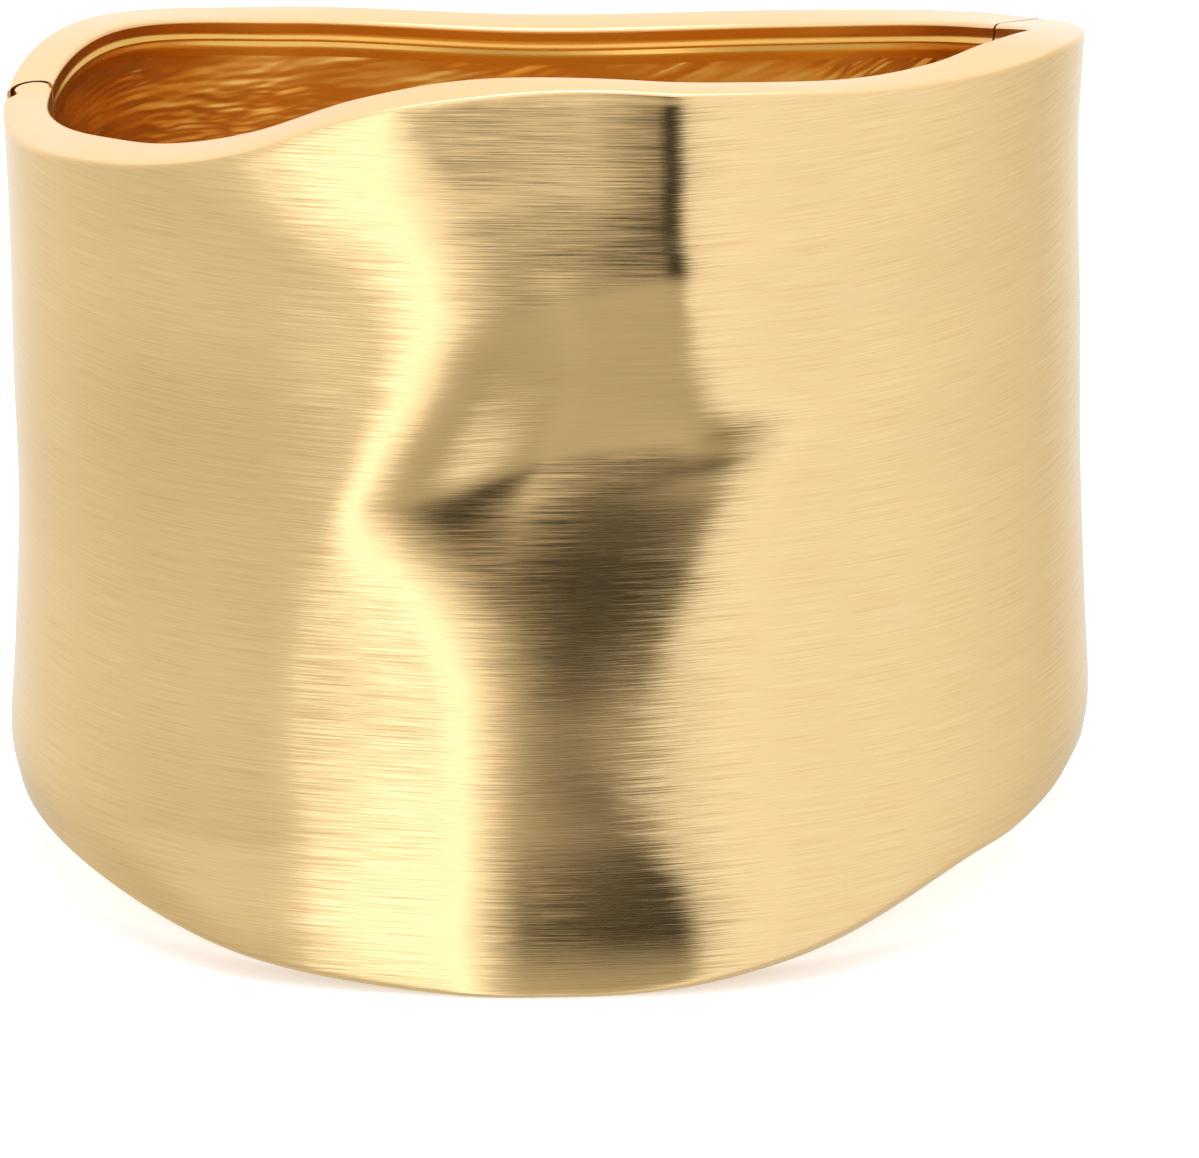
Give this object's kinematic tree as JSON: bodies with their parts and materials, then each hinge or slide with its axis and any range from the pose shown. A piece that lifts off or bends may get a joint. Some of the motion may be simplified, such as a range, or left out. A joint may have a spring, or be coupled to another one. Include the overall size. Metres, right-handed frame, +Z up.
{
  "type": "hinged cuff bangle",
  "caption": "Wide oval cuff bangle in satin-brushed gold metal, with a wavy rim, a softly dented high front, a side hinge and a hidden clasp.",
  "frame": {"origin": "centre of the bounding box, on the surface that the lower edge stands on", "axes": "+X along the long way of the oval, from the hinge to the clasp; the high dented front faces -Y; +Z up, along the arm"},
  "size_m": [0.068, 0.0553, 0.059],
  "materials": {
    "satin_gold": "gold-plated casting, satin-brushed along the wrist outside, rough cast and bright inside",
    "satin_gold_back": "gold-plated casting, satin-brushed along the wrist outside, rough cast and bright inside",
    "pin_steel": "drawn hinge wire, bright",
    "clasp_gold": "gold-plated sheet, polished"
  },
  "bodies": {
    "front": {"front_shell": "satin_gold", "hinge_pin": "pin_steel", "clasp_tongue": "clasp_gold"},
    "back": {"back_shell": "satin_gold_back"}
  },
  "joints": [
    {"name": "wrist_hinge", "type": "hinge", "parent": "front", "child": "back", "pos_m": [-0.03135, 0, 0.027], "axis": [0, 0, 1], "range_deg": [0, 40]}
  ]
}
